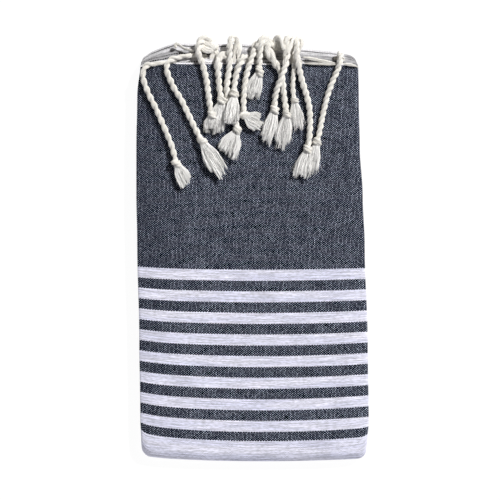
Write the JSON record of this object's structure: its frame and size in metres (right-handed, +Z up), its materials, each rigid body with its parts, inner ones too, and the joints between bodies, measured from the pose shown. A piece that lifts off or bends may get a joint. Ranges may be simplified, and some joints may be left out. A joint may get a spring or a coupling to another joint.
{
  "type": "hammam towel",
  "caption": "Flat-woven cotton towel with woven stripes, folded flat into a pad, its twisted and knotted fringe laid over the front.",
  "frame": {"origin": "under the middle of the folded towel's box, on the surface it rests on", "axes": "+X across the folded towel to the right, +Y along it to the fringed end, +Z up out of the front"},
  "size_m": [0.257, 0.4724, 0.0385],
  "materials": {
    "cloth": "flat woven, matt, charcoal with white weft stripes",
    "fringe": "twisted undyed cotton, matt"
  },
  "bodies": {
    "root": {"towel": "cloth", "tassel_01": "fringe", "tassel_02": "fringe", "tassel_03": "fringe", "tassel_04": "fringe", "tassel_05": "fringe", "tassel_06": "fringe", "tassel_07": "fringe", "tassel_08": "fringe", "tassel_09": "fringe", "tassel_10": "fringe", "tassel_11": "fringe", "tassel_12": "fringe", "tassel_13": "fringe"}
  },
  "joints": []
}
